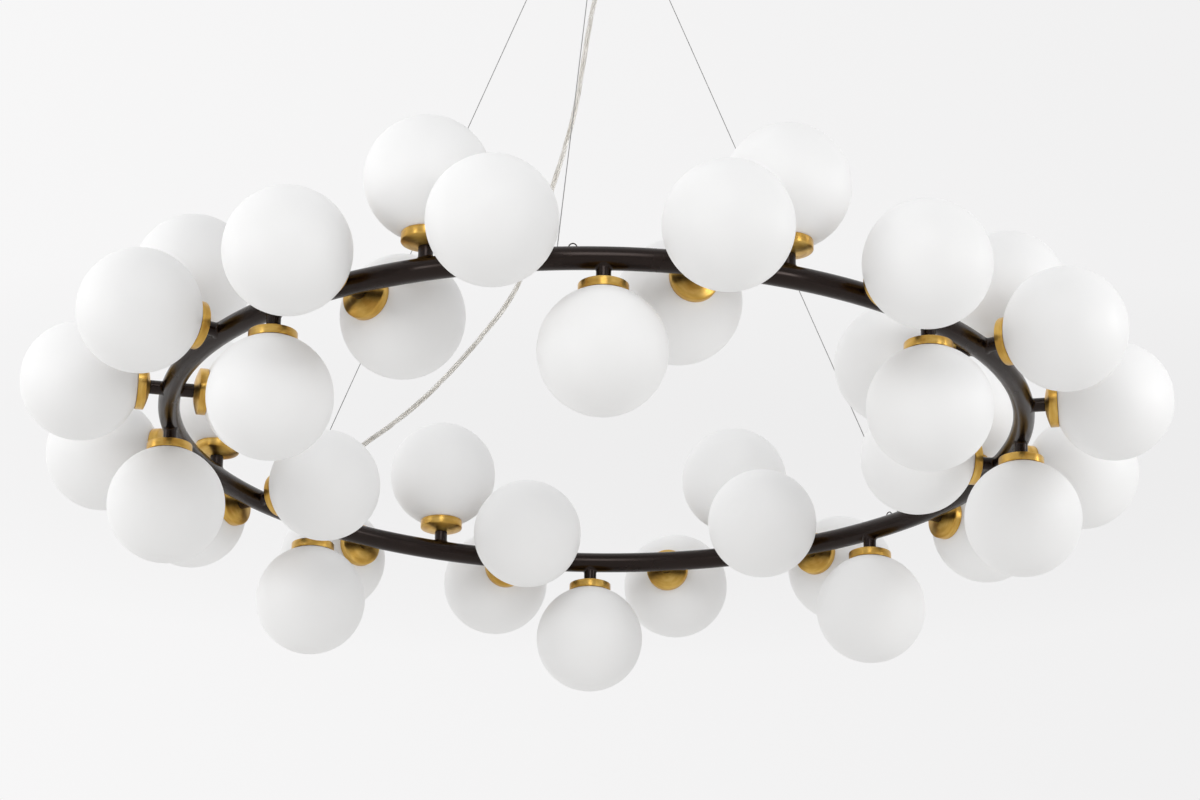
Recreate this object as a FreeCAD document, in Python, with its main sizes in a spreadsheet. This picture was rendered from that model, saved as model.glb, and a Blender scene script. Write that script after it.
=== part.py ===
import FreeCAD, Part
import math
import os
import re
import Sketcher

# Ring chandelier: forty opal glass globes on a hollow steel ring, hung from a ceiling canopy
# by three steel wires and fed by one clear cord. Millimetres, +Z up.
# The origin is at the ceiling, on the canopy's axis, so the ring's plane lies drop_height below.

SIZES = [
    ("ring_radius", 437.6, "centre line of the ring tube"),
    ("tube_radius", 11.0, "outside of the ring tube"),
    ("tube_wall", 1.5, "steel wall of the ring tube"),
    ("drop_height", 635.0, "ceiling down to the ring's plane"),
    ("station_phase", 0.7, "degrees from +X to the first downward globe"),
    ("pair_offset", 12.0, "degrees on to the pair that points out and in"),
    ("up_offset", 23.0, "degrees on to the upward globe"),
    ("outer_offset", 34.0, "degrees on to the single outward globe"),
    ("stem_radius", 7.0, "stem between ring and cup"),
    ("stem_length", 11.1, "ring surface to the back of the cup"),
    ("stem_collar_radius", 8.5, "flared foot of the stem"),
    ("stem_collar_length", 3.0, "height of the foot above the ring's surface"),
    ("stem_bore", 3.5, "radius of the way for the lead wires"),
    ("spigot_radius", 4.9, "threaded ends of the stem"),
    ("spigot_reach", 3.0, "how far the stem goes on inside the ring's wall"),
    ("spigot_length", 8.0, "threaded end beyond the back of the cup"),
    ("seat_gap", 0.15, "play between the foot's saddle and the ring"),
    ("cup_radius", 23.5, "outside of the brass cup"),
    ("cup_wall", 1.2, "brass sheet"),
    ("cup_depth", 13.1, "back of the cup to its rim"),
    ("cup_band", 8.4, "straight band behind the rim"),
    ("dome_start", 7.4, "radius of the flat on the cup's back"),
    ("sleeve_wall", 1.4, "threaded sleeve inside the cup"),
    ("sleeve_recess", 2.0, "sleeve's top below the rim"),
    ("rim_gap", 0.3, "cup's rim to the glass"),
    ("thread_gap", 0.3, "glass neck to the sleeve"),
    ("drill_gap", 0.1, "radial play of a bolted or threaded piece in its hole"),
    ("globe_radius", 60.0, "outside of the glass"),
    ("glass_wall", 2.2, "blown opal glass"),
    ("neck_radius", 17.5, "outside of the threaded glass neck"),
    ("neck_wall", 3.0, "glass at the neck"),
    ("holder_radius", 11.0, "ceramic lampholder"),
    ("holder_length", 22.0, "lampholder from the cup's back"),
    ("socket_depth", 10.0, "depth of the lampholder's socket"),
    ("lamp_base_radius", 6.2, "lamp's base in the socket"),
    ("lamp_base_length", 9.6, "length of that base"),
    ("lamp_radius", 7.5, "capsule of the lamp"),
    ("lamp_length", 48.0, "capsule above the lampholder"),
    ("socket_gap", 0.4, "play of the lamp's base in the socket"),
    ("canopy_radius", 85.0, "canopy's rim"),
    ("canopy_rim", 5.0, "straight rim against the ceiling"),
    ("canopy_depth", 40.0, "ceiling to the canopy's flat nose"),
    ("canopy_nose", 31.5, "radius of the flat nose"),
    ("canopy_wall", 2.0, "spun steel sheet"),
    ("boss_radius", 8.5, "welded boss that carries a gripper"),
    ("boss_proud", 1.5, "boss outside the canopy's cone"),
    ("boss_inside", 8.0, "boss inside the canopy's cone"),
    ("bracket_length", 140.0, "ceiling bracket"),
    ("bracket_width", 34.0, "width of the bracket"),
    ("bracket_thickness", 3.0, "steel strap"),
    ("slot_spacing", 104.0, "between the two ceiling screws"),
    ("slot_length", 12.0, "end to end of a slot"),
    ("slot_radius", 2.6, "half the width of a slot"),
    ("mains_hole_radius", 6.0, "way in for the mains cable"),
    ("mains_hole_offset", 9.0, "from the canopy's axis"),
    ("screw_spacing", 40.0, "between the two canopy screws"),
    ("screw_radius", 2.5, "shank of a canopy screw"),
    ("screw_head_radius", 4.8, "domed head"),
    ("screw_head_height", 3.0, "height of the head"),
    ("screw_tip_gap", 0.4, "screw's tip below the ceiling"),
    ("block_length", 28.0, "terminal block along the bracket"),
    ("block_width", 13.0, "terminal block across the bracket"),
    ("block_height", 14.0, "terminal block below the bracket"),
    ("block_offset", 8.5, "terminal block's middle from the canopy's axis"),
    ("block_bore", 2.0, "wire way through a terminal"),
    ("gripper_circle", 49.0, "where the wires leave the canopy"),
    ("gripper_near_angle", 267.0, "degrees round the canopy"),
    ("gripper_right_angle", 42.0, "degrees round the canopy"),
    ("gripper_left_angle", 151.5, "degrees round the canopy"),
    ("foot_near_angle", 265.1, "degrees round the ring, where this wire ends"),
    ("foot_right_angle", 40.0, "degrees round the ring"),
    ("foot_left_angle", 139.5, "degrees round the ring"),
    ("foot_tilt", 65.0, "degrees up from outward, to the wire's end in the tube"),
    ("gripper_thread_radius", 4.9, "threaded stud in the boss"),
    ("gripper_stud", 12.0, "stud inside the seat"),
    ("gripper_flange_radius", 7.0, "flange against the boss"),
    ("gripper_flange", 3.4, "thickness of the flange"),
    ("gripper_barrel_radius", 5.0, "barrel below the flange"),
    ("gripper_barrel", 12.0, "length of the barrel"),
    ("gripper_socket", 5.0, "depth of the collar's socket"),
    ("collar_radius", 2.8, "release collar's stem"),
    ("collar_head_radius", 4.0, "head that a finger presses"),
    ("collar_head", 2.0, "thickness of that head"),
    ("collar_travel", 2.0, "how far the collar is pressed"),
    ("running_gap", 0.3, "round a piece that slides"),
    ("wire_radius", 0.5, "suspension wire"),
    ("wire_tail", 24.0, "wire beyond the gripper's seat, in the canopy"),
    ("wire_gap", 0.2, "round the wire in its bores"),
    ("ball_radius", 3.0, "swaged ball on the wire's end"),
    ("ball_gap", 0.05, "round the wire in its ball"),
    ("loop_radius", 3.7, "centre line of the small wire loop"),
    ("loop_wire_radius", 0.6, "wire of that loop"),
    ("loop_offset", 14.3, "along the ring from the suspension wire"),
    ("gland_thread_radius", 4.9, "threaded end of a cord gland"),
    ("gland_thread", 5.0, "length of that thread"),
    ("gland_flange_radius", 6.5, "flange of the gland"),
    ("gland_flange", 2.5, "thickness of that flange"),
    ("gland_nose_radius", 4.6, "mouth of the gland"),
    ("gland_nose", 18.0, "length of its tapered nose"),
    ("gland_lift", 0.3, "gland's flange off the ring's crown"),
    ("gland_ring_angle", 138.0, "degrees round the ring"),
    ("gland_ring_tilt", 140.0, "degrees up from outward"),
    ("cord_radius", 2.75, "clear twin cord"),
    ("cord_gap", 0.25, "round the cord in a gland"),
    ("cord_straight", 14.0, "straight cord before the ring's gland"),
    ("cord_reach", 26.0, "cord inside that gland and the ring"),
]

SECTORS = 8
SECTOR_STEP = 360.0 / SECTORS
WIRES = ("near", "right", "left")

# The cord hangs slack in one upright plane: distance from the axis, height above the ring's plane,
# drawn for a ring and a drop of the sizes named here.
DRAWN_RING = 437.6
DRAWN_DROP = 635.0
CORD_DRAWN = [
    (0.0, 609.0), (0.0, 562.0), (5.0, 514.0), (16.0, 477.0), (23.5, 438.0), (30.5, 399.0),
    (41.0, 358.0), (56.0, 320.0), (73.0, 280.0), (90.0, 238.0), (109.0, 200.0), (133.0, 171.0),
    (164.0, 148.5), (198.0, 125.5), (234.0, 104.5), (271.0, 87.5), (309.0, 74.0), (340.0, 66.0),
    (366.0, 54.0),
]
# An arc takes up this share of the shorter of the two runs that it joins.
ARC_SHARE = 0.45

os.makedirs("parts", exist_ok=True)
doc = FreeCAD.newDocument("Chandelier")
sheet = doc.addObject("Spreadsheet::Sheet", "Sizes")
for row, (alias, number, note) in enumerate(SIZES, start=1):
    sheet.set("A%d" % row, note)
    sheet.set("B%d" % row, str(number))
    sheet.setAlias("B%d" % row, alias)
doc.recompute()

# Distances along an arm, from the tube's centre line outwards, as formulas of the sheet.
CUP_BACK = "(tube_radius + stem_length)"
CUP_SEAT = "(%s + cup_wall)" % CUP_BACK
CUP_RIM = "(%s + cup_depth)" % CUP_BACK
BAND_FOOT = "(%s - cup_band)" % CUP_RIM
GLOBE_CENTRE = "(%s + rim_gap + sqrt(globe_radius^2 - (cup_radius - cup_wall)^2))" % CUP_RIM
NECK_END = "(%s + 2 * rim_gap)" % BAND_FOOT
HOLDER_TOP = "(%s + holder_length)" % CUP_SEAT
CONE_SLOPE = "((canopy_depth - canopy_rim) / (canopy_radius - canopy_nose))"
SEAT_DROP = "(canopy_rim + (canopy_radius - gripper_circle) * %s)" % CONE_SLOPE
BARREL_END = "(boss_proud + drill_gap + gripper_flange + gripper_barrel)"


def size(text):
    """The number that a formula of the sheet's sizes gives."""
    return float(sheet.evalExpression(text))


def bind(thing, prop, text):
    """Ties a property to a formula; every size's name holds an underscore."""
    formula = re.sub(r"\b[a-z]+_[a-z_]+", lambda found: "Sizes." + found.group(0), str(text))
    thing.setExpression(prop, formula)


def primitive(kind, name, z=None, **sizes):
    """A plain solid whose sizes and height are tied to the sheet."""
    thing = doc.addObject("Part::" + kind, name)
    for prop, text in sizes.items():
        bind(thing, prop, text)
    if z is not None:
        bind(thing, "Placement.Base.z", z)
    return thing


def cylinder(name, radius, start, end):
    """A cylinder about Z between two heights."""
    return primitive("Cylinder", name, z=start, Radius=radius, Height="%s - (%s)" % (end, start))


def fuse(name, things):
    joined = doc.addObject("Part::MultiFuse", name)
    joined.Shapes = things
    joined.Refine = False
    return joined


def cut(name, base, tool):
    result = doc.addObject("Part::Cut", name)
    result.Base = base
    result.Tool = tool
    result.Refine = False
    return result


def flat_sketch(body, name, role):
    """A sketch on one of a body's own planes."""
    plane = [item for item in body.Origin.OriginFeatures if item.Role == role][0]
    sketch = body.newObject("Sketcher::SketchObject", name)
    sketch.AttachmentSupport = [(plane, "")]
    sketch.MapMode = "FlatFace"
    return sketch


def tie_point(sketch, item, end, texts):
    """Holds one point of a sketch at a pair of formulas."""
    for kind, text in zip(("DistanceX", "DistanceY"), texts):
        index = sketch.addConstraint(Sketcher.Constraint(kind, -1, 1, item, end, size(text)))
        bind(sketch, "Constraints[%d]" % index, text)


def closed_outline(sketch, outline):
    """Straight lines from corner to corner, each corner at its pair of formulas."""
    corners = [FreeCAD.Vector(size(x), size(y), 0) for x, y in outline]
    count = len(corners)
    for i in range(count):
        sketch.addGeometry(Part.LineSegment(corners[i], corners[(i + 1) % count]), False)
    for i in range(count):
        sketch.addConstraint(Sketcher.Constraint("Coincident", i, 2, (i + 1) % count, 1))
    for i, texts in enumerate(outline):
        tie_point(sketch, i, 1, texts)


def revolved(name, outline):
    """A solid turned about Z from a closed outline of (radius, height) formulas."""
    body = doc.addObject("PartDesign::Body", name)
    sketch = flat_sketch(body, name + "_outline", "XZ_Plane")
    closed_outline(sketch, outline)
    turned = body.newObject("PartDesign::Revolution", name + "_turned")
    turned.Profile = sketch
    turned.ReferenceAxis = (sketch, ["V_Axis"])
    turned.Angle = 360
    return body


def radial(angle):
    turn = math.radians(angle)
    return FreeCAD.Vector(math.cos(turn), math.sin(turn), 0)


def facing(point, direction, along):
    """Placement at a point, with local Z in a direction and local X near another one."""
    across = direction.cross(along)
    turn = FreeCAD.Rotation(across.cross(direction), across, direction, "ZXY")
    return FreeCAD.Placement(point, turn)


def on_ring(angle, tilt):
    """Placement on the tube's centre line: Z leaves the tube, X runs along the ring."""
    outward = radial(angle)
    up = FreeCAD.Vector(0, 0, 1)
    turn = math.radians(tilt)
    direction = outward * math.cos(turn) + up * math.sin(turn)
    centre = outward * size("ring_radius") - up * size("drop_height")
    return facing(centre, direction, radial(angle + 90))


def placed(label, master, placement):
    """A finished node: a copy of a master shape in its place."""
    node = doc.addObject("Part::Feature", label)
    node.Shape = master.Shape.copy()
    node.Placement = placement
    nodes.append(node)
    return node


def placed_group(label, master, placements):
    """One node that holds the same piece several times, as separate solids."""
    node = doc.addObject("Part::Feature", label)
    node.Shape = Part.Compound([master.Shape.transformed(p.toMatrix(), True) for p in placements])
    nodes.append(node)
    return node


def tool_group(name, shapes):
    """Shapes that are only cut away or welded on."""
    group = doc.addObject("Part::Feature", name)
    group.Shape = Part.Compound(shapes)
    return group


def bar(placement, radius, start, end):
    """A solid round bar along a placement's Z."""
    rod = Part.makeCylinder(radius, end - start, FreeCAD.Vector(0, 0, start))
    return rod.transformed(placement.toMatrix(), True)


nodes = []

# Where each arm stands: its globe's name, its angle round the ring and its tilt from outward.
ARMS = []
outer_number = 0
for sector in range(SECTORS):
    start = size("station_phase") + sector * SECTOR_STEP
    pair = start + size("pair_offset")
    ARMS.append(("globe_down_%d" % (sector + 1), start, 270.0))
    ARMS.append(("globe_outer_%d" % (2 * sector + 1), pair, 0.0))
    ARMS.append(("globe_inner_%d" % (sector + 1), pair, 180.0))
    ARMS.append(("globe_up_%d" % (sector + 1), start + size("up_offset"), 90.0))
    ARMS.append(("globe_outer_%d" % (2 * sector + 2), start + size("outer_offset"), 0.0))
arm_places = [on_ring(angle, tilt) for _, angle, tilt in ARMS]


def wire_place(name):
    """Placement at a gripper's seat on the canopy's cone, Z down along its wire."""
    seat = radial(size("gripper_%s_angle" % name)) * size("gripper_circle")
    seat.z = -size(SEAT_DROP)
    direction = (wire_foot(name) - seat).normalize()
    return facing(seat, direction, radial(size("gripper_%s_angle" % name) + 90))


def wire_foot(name):
    """Centre of the ball that ends a wire, against the inside of the ring's wall."""
    reach = size("tube_radius - tube_wall - ball_radius - seat_gap")
    place = on_ring(size("foot_%s_angle" % name), size("foot_tilt"))
    return place.multVec(FreeCAD.Vector(0, 0, reach))


wire_places = {name: wire_place(name) for name in WIRES}
wire_lengths = {name: (wire_foot(name) - wire_places[name].Base).Length for name in WIRES}
gland_places = [
    FreeCAD.Placement(FreeCAD.Vector(0, 0, -size("canopy_depth")), FreeCAD.Rotation(180, 0, 180)),
    on_ring(size("gland_ring_angle"), size("gland_ring_tilt")).multiply(
        FreeCAD.Placement(FreeCAD.Vector(0, 0, size("tube_radius + gland_lift")), FreeCAD.Rotation())
    ),
]


def make_ring():
    """Hollow steel ring with a hole for each stem, each wire and the cord's gland."""
    inner = "tube_radius - tube_wall"
    outside = primitive("Torus", "outside", "-drop_height", Radius1="ring_radius", Radius2="tube_radius")
    inside = primitive("Torus", "inside", "-drop_height", Radius1="ring_radius", Radius2=inner)
    shell = cut("ring_shell", outside, inside)
    hole = size("spigot_radius + drill_gap")
    reach = size("2 * tube_radius")
    holes = [bar(place, hole, 0.0, reach) for place in arm_places]
    holes.append(bar(gland_places[1], size("gland_thread_radius + drill_gap"), -size("tube_radius"), reach))
    for name in WIRES:
        end = wire_lengths[name]
        holes.append(bar(wire_places[name], size("wire_radius + wire_gap"), end - reach, end))
    ring = cut("ring_tube", shell, tool_group("ring_holes", holes))
    nodes.append(ring)


def make_stem():
    """Black stem: a flared foot with a saddle, a shank, and a threaded spigot at each end."""
    shank = cylinder("stem_shank", "stem_radius", "0", CUP_BACK)
    foot = cylinder("stem_foot", "stem_collar_radius", "0", "tube_radius + stem_collar_length")
    saddle = primitive("Cylinder", "stem_saddle", Radius="tube_radius + seat_gap", Height="2 * ring_radius")
    bind(saddle, "Placement.Base.x", "-ring_radius")
    saddle.Placement.Rotation = FreeCAD.Rotation(FreeCAD.Vector(0, 1, 0), 90)
    outside = cut("stem_outside", fuse("stem_body", [shank, foot]), saddle)
    start = "(tube_radius - tube_wall - spigot_reach)"
    end = "(%s + spigot_length)" % CUP_BACK
    spigot = cylinder("stem_spigot", "spigot_radius", start, end)
    bore = cylinder("stem_way", "stem_bore", "0", "2 * " + end)
    return cut("stem", fuse("stem_solid", [outside, spigot]), bore)


def make_cup():
    """Spun brass cup: domed back with a small flat, straight band, threaded sleeve inside."""
    inner = "(cup_radius - cup_wall)"
    flat = "(holder_radius + socket_gap)"
    slope = "((%s - %s) / (cup_radius - %s))" % (BAND_FOOT, CUP_BACK, flat)
    sleeve_in = "(neck_radius + thread_gap)"
    sleeve_out = "(neck_radius + thread_gap + sleeve_wall)"
    sleeve_top = "(%s - sleeve_recess)" % CUP_RIM
    shoulder = "(%s + (%%s - %s) * %s)" % (CUP_SEAT, flat, slope)
    fall = "((%s - %s) / (cup_radius^2 - dome_start^2))" % (BAND_FOOT, CUP_BACK)
    dome = []
    for third in (1, 2):
        radius = "(dome_start + (cup_radius - dome_start) * %d / 3)" % third
        dome.append((radius, "(%s + (%s^2 - dome_start^2) * %s)" % (CUP_BACK, radius, fall)))
    return revolved("cup", [
        ("spigot_radius + drill_gap", CUP_BACK),
        ("dome_start", CUP_BACK),
        *dome,
        ("cup_radius", BAND_FOOT),
        ("cup_radius", CUP_RIM),
        (inner, CUP_RIM),
        (inner, shoulder % inner),
        (sleeve_out, shoulder % sleeve_out),
        (sleeve_out, sleeve_top),
        (sleeve_in, sleeve_top),
        (sleeve_in, shoulder % sleeve_in),
        (flat, CUP_SEAT),
        ("spigot_radius + drill_gap", CUP_SEAT),
    ])


def make_globe():
    """Blown opal globe, open at a short threaded neck."""
    sphere = primitive("Sphere", "globe_outside", GLOBE_CENTRE, Radius="globe_radius")
    neck = cylinder("globe_neck", "neck_radius", NECK_END, GLOBE_CENTRE)
    hollow = primitive("Sphere", "globe_inside", GLOBE_CENTRE, Radius="globe_radius - glass_wall")
    bore = cylinder("globe_bore", "neck_radius - neck_wall", BAND_FOOT, GLOBE_CENTRE)
    outside = fuse("globe_solid", [sphere, neck])
    return cut("globe", outside, fuse("globe_void", [hollow, bore]))


def make_holder():
    """Ceramic lampholder: threaded onto the stem below, a socket for the lamp's base above."""
    thread = "(spigot_radius + drill_gap)"
    thread_top = "(%s + spigot_length + drill_gap)" % CUP_BACK
    socket = "(lamp_base_radius + socket_gap)"
    socket_foot = "(%s - socket_depth)" % HOLDER_TOP
    return revolved("holder", [
        (thread, CUP_SEAT),
        ("holder_radius", CUP_SEAT),
        ("holder_radius", HOLDER_TOP),
        (socket, HOLDER_TOP),
        (socket, socket_foot),
        ("stem_bore", socket_foot),
        ("stem_bore", thread_top),
        (thread, thread_top),
    ])


def make_lamp():
    """Capsule lamp with its base down in the socket."""
    top = "(%s + lamp_length - lamp_radius)" % HOLDER_TOP
    base = cylinder("lamp_base", "lamp_base_radius", "%s - lamp_base_length" % HOLDER_TOP, top)
    body = cylinder("lamp_body", "lamp_radius", "%s + drill_gap" % HOLDER_TOP, top)
    crown = primitive("Sphere", "lamp_crown", top, Radius="lamp_radius")
    return fuse("lamp", [base, body, crown])


def make_arms():
    """Forty arms: the stems, cups, holders and lamps as groups, each globe as its own node."""
    masters = [
        ("stems", make_stem()),
        ("cups", make_cup()),
        ("lampholders", make_holder()),
        ("lamps", make_lamp()),
    ]
    globe = make_globe()
    doc.recompute()
    for label, master in masters:
        placed_group(label, master, arm_places)
    for (label, _, _), place in zip(ARMS, arm_places):
        placed(label, globe, place)


def make_bracket():
    """Ceiling strap with two slots, two tapped holes and the way in for the mains cable."""
    body = doc.addObject("PartDesign::Body", "bracket_strap")
    strap = flat_sketch(body, "strap_outline", "XY_Plane")
    corners = []
    for x, y in ((-1, -1), (1, -1), (1, 1), (-1, 1)):
        corners.append(("%d * bracket_length / 2" % x, "%d * bracket_width / 2" % y))
    closed_outline(strap, corners)
    holes = flat_sketch(body, "strap_holes", "XY_Plane")
    round_holes = [
        ("0", "mains_hole_offset", "mains_hole_radius"),
        ("-screw_spacing / 2", "0", "screw_radius + drill_gap"),
        ("screw_spacing / 2", "0", "screw_radius + drill_gap"),
    ]
    for i, (x, y, radius) in enumerate(round_holes):
        centre = FreeCAD.Vector(size(x), size(y), 0)
        holes.addGeometry(Part.Circle(centre, FreeCAD.Vector(0, 0, 1), size(radius)), False)
        tie_point(holes, i, 3, (x, y))
        index = holes.addConstraint(Sketcher.Constraint("Radius", i, size(radius)))
        bind(holes, "Constraints[%d]" % index, radius)
    pad = body.newObject("PartDesign::Pad", "strap")
    pad.Profile = strap
    pad.Reversed = True
    bind(pad, "Length", "bracket_thickness")
    doc.recompute()
    pocket = body.newObject("PartDesign::Pocket", "strap_drilled")
    pocket.Profile = holes
    bind(pocket, "Length", "bracket_thickness")
    slots = [slot_solid(side * size("slot_spacing / 2")) for side in (-1, 1)]
    nodes.append(cut("ceiling_bracket", body, tool_group("bracket_slots", slots)))


def slot_solid(middle):
    """A rounded slot along X through the bracket, centred at a distance along X."""
    radius = size("slot_radius")
    straight = size("slot_length / 2 - slot_radius")
    depth = size("bracket_thickness")
    box = Part.makeBox(2 * straight, 2 * radius, depth, FreeCAD.Vector(middle - straight, -radius, -depth))
    for end in (-straight, straight):
        box = box.fuse(Part.makeCylinder(radius, depth, FreeCAD.Vector(middle + end, 0, -depth)))
    return box.removeSplitter()


def make_canopy():
    """Conical cover with a welded boss square to each wire, and holes in its flat nose."""
    gland_hole = "(gland_thread_radius + drill_gap)"
    cone = revolved("canopy_cone", [
        ("canopy_radius", "0"),
        ("canopy_radius", "-canopy_rim"),
        ("canopy_nose", "-canopy_depth"),
        (gland_hole, "-canopy_depth"),
        (gland_hole, "canopy_wall - canopy_depth"),
        ("canopy_nose", "canopy_wall - canopy_depth"),
        ("canopy_radius - canopy_wall", "-canopy_rim"),
        ("canopy_radius - canopy_wall", "0"),
    ])
    bosses = []
    holes = []
    for place in wire_places.values():
        bosses.append(bar(place, size("boss_radius"), -size("boss_inside"), size("boss_proud")))
        hole = size("gripper_thread_radius + drill_gap")
        holes.append(bar(place, hole, -size("2 * boss_inside"), size("2 * boss_radius")))
    for side in (-1, 1):
        foot = FreeCAD.Vector(side * size("screw_spacing / 2"), 0, -size("canopy_depth + canopy_wall"))
        holes.append(Part.makeCylinder(size("screw_radius + running_gap"), size("3 * canopy_wall"), foot))
    doc.recompute()
    solid = fuse("canopy_solid", [cone, tool_group("canopy_bosses", bosses)])
    cover = cut("canopy_cover", solid, tool_group("canopy_holes", holes))
    nodes.append(cover)


def make_screw():
    """Domed screw from under the canopy's nose up into the bracket."""
    head = primitive("Sphere", "screw_dome", "-canopy_depth", Radius="screw_head_radius")
    flat = cylinder("screw_cap", "screw_head_radius", "-canopy_depth - screw_head_height", "-canopy_depth")
    dome = doc.addObject("Part::MultiCommon", "screw_head")
    dome.Shapes = [head, flat]
    shank = cylinder("screw_shank", "screw_radius", "-canopy_depth", "-screw_tip_gap")
    return fuse("screw", [dome, shank])


def make_canopy_fittings():
    """Canopy screws and the terminal block under the bracket."""
    screw = make_screw()
    block = primitive(
        "Box", "block_body", "-bracket_thickness - block_height",
        Length="block_length", Width="block_width", Height="block_height",
    )
    bind(block, "Placement.Base.x", "-block_length / 2")
    bind(block, "Placement.Base.y", "-block_offset - block_width / 2")
    ways = []
    for side in (-1, 1):
        start = FreeCAD.Vector(side * size("block_length / 4"), -size("bracket_width"), 0)
        start.z = -size("bracket_thickness + block_height / 2")
        across = FreeCAD.Vector(0, size("2 * bracket_width"), 0)
        ways.append(Part.makeCylinder(size("block_bore"), across.Length, start, across))
    doc.recompute()
    spots = [FreeCAD.Vector(side * size("screw_spacing / 2"), 0, 0) for side in (-1, 1)]
    placed_group("canopy_screws", screw, [FreeCAD.Placement(s, FreeCAD.Rotation()) for s in spots])
    nodes.append(cut("terminal_block", block, tool_group("block_ways", ways)))


def make_grippers():
    """Wire grippers in the canopy's bosses, each with a collar that is pressed to let go."""
    face = "(boss_proud + drill_gap)"
    flange_end = "(%s + gripper_flange)" % face
    way = "(wire_radius + wire_gap)"
    socket = "(collar_radius + running_gap)"
    socket_foot = "(%s - gripper_socket)" % BARREL_END
    gripper = revolved("gripper", [
        (way, "-gripper_stud"),
        ("gripper_thread_radius", "-gripper_stud"),
        ("gripper_thread_radius", face),
        ("gripper_flange_radius", face),
        ("gripper_flange_radius", flange_end),
        ("gripper_barrel_radius", flange_end),
        ("gripper_barrel_radius", BARREL_END),
        (socket, BARREL_END),
        (socket, socket_foot),
        (way, socket_foot),
    ])
    collar_start = "(%s + collar_travel + running_gap)" % socket_foot
    head_start = "(%s + collar_travel + running_gap)" % BARREL_END
    collar = revolved("collar", [
        (way, collar_start),
        ("collar_radius", collar_start),
        ("collar_radius", head_start),
        ("collar_head_radius", head_start),
        ("collar_head_radius", head_start + " + collar_head"),
        (way, head_start + " + collar_head"),
    ])
    doc.recompute()
    placed_group("wire_grippers", gripper, list(wire_places.values()))
    for name, place in wire_places.items():
        placed("release_collar_" + name, collar, place)


def make_wires():
    """Taut steel wires from the canopy into the ring, with a swaged ball on each end."""
    for name, place in wire_places.items():
        wire = primitive("Cylinder", "wire_" + name, Radius="wire_radius")
        wire.Height = wire_lengths[name] + size("wire_tail")
        tail = FreeCAD.Placement(FreeCAD.Vector(0, 0, -size("wire_tail")), FreeCAD.Rotation())
        wire.Placement = place.multiply(tail)
        nodes.append(wire)
    ball = primitive("Sphere", "ball_solid", Radius="ball_radius")
    way = cylinder("ball_way", "wire_radius + ball_gap", "-ball_radius", "ball_gap")
    end_ball = cut("end_ball", ball, way)
    doc.recompute()
    spots = []
    for name, place in wire_places.items():
        end = FreeCAD.Placement(FreeCAD.Vector(0, 0, wire_lengths[name]), FreeCAD.Rotation())
        spots.append(place.multiply(end))
    placed_group("wire_end_balls", end_ball, spots)


def make_loops():
    """Small black wire loops that stand on the ring's crown beside the wires."""
    step = math.degrees(size("loop_offset / ring_radius"))
    loops = []
    crown = size("tube_radius")
    skin = Part.makeTorus(size("ring_radius"), size("tube_radius + seat_gap"))
    skin.translate(FreeCAD.Vector(0, 0, -size("drop_height")))
    for name in WIRES:
        place = on_ring(size("foot_%s_angle" % name) + step, 90.0)
        loop = Part.makeTorus(size("loop_radius"), size("loop_wire_radius"))
        loop.rotate(FreeCAD.Vector(0, 0, 0), FreeCAD.Vector(1, 0, 0), 90)
        loop.translate(FreeCAD.Vector(0, 0, crown))
        loops.append(loop.transformed(place.toMatrix(), True).cut(skin))
    node = doc.addObject("Part::Feature", "wire_loops")
    node.Shape = Part.Compound(loops)
    nodes.append(node)


def make_glands():
    """Cord glands in the canopy's nose and in the ring: thread, flange and tapered nose."""
    bore = "(cord_radius + cord_gap)"
    nose_end = "(gland_flange + gland_nose)"
    gland = revolved("gland", [
        (bore, "-gland_thread"),
        ("gland_thread_radius", "-gland_thread"),
        ("gland_thread_radius", "0"),
        ("gland_flange_radius", "0"),
        ("gland_flange_radius", "gland_flange"),
        ("(gland_flange_radius + gland_nose_radius) / 2", "gland_flange"),
        ("gland_nose_radius", nose_end),
        (bore, nose_end),
    ])
    doc.recompute()
    placed_group("cord_glands", gland, gland_places)


def cord_route():
    """The cord's points: down from the canopy, a slack curve in one upright plane, into the ring."""
    outward = radial(size("gland_ring_angle")) * size("ring_radius") / DRAWN_RING
    upward = FreeCAD.Vector(0, 0, size("drop_height") / DRAWN_DROP)
    ring_middle = FreeCAD.Vector(0, 0, -size("drop_height"))
    points = [ring_middle + outward * out + upward * up for out, up in CORD_DRAWN]
    mouth = gland_places[1].multVec(FreeCAD.Vector(0, 0, size("gland_flange + gland_nose")))
    axis = gland_places[1].Rotation.multVec(FreeCAD.Vector(0, 0, 1))
    points.append(mouth + axis * size("cord_straight"))
    points.append(mouth - axis * size("cord_reach"))
    return points


def make_cord():
    """Clear cord as straight runs joined by tangent arcs as large as the runs allow."""
    points = cord_route()
    radius = size("cord_radius")
    edges = []
    radii = []
    start = points[0]
    for before, corner, after in zip(points, points[1:], points[2:]):
        back = before - corner
        on = after - corner
        half_turn = (math.pi - back.getAngle(on)) / 2
        trim = ARC_SHARE * min(back.Length, on.Length)
        radii.append(trim / math.tan(half_turn))
        back.normalize()
        on.normalize()
        first = corner + back * trim
        last = corner + on * trim
        bisector = (back + on).normalize()
        middle = corner + bisector * radii[-1] * (1 / math.cos(half_turn) - 1)
        edges.append(Part.LineSegment(start, first).toShape())
        edges.append(Part.Arc(first, middle, last).toShape())
        start = last
    edges.append(Part.LineSegment(start, points[-1]).toShape())
    path = Part.Wire(edges)
    direction = points[1] - points[0]
    ring = Part.Wire([Part.Circle(points[0], direction, radius).toShape()])
    tube = path.makePipeShell([ring], True, False)
    node = doc.addObject("Part::Feature", "power_cord")
    node.Shape = tube
    nodes.append(node)
    expected = math.pi * radius**2 * path.Length
    print("cord radii", " ".join("%.0f" % r for r in radii), "smallest %.1f" % min(radii))
    print("cord length %.1f, volume ratio %.5f" % (path.Length, tube.Volume / expected))


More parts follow.
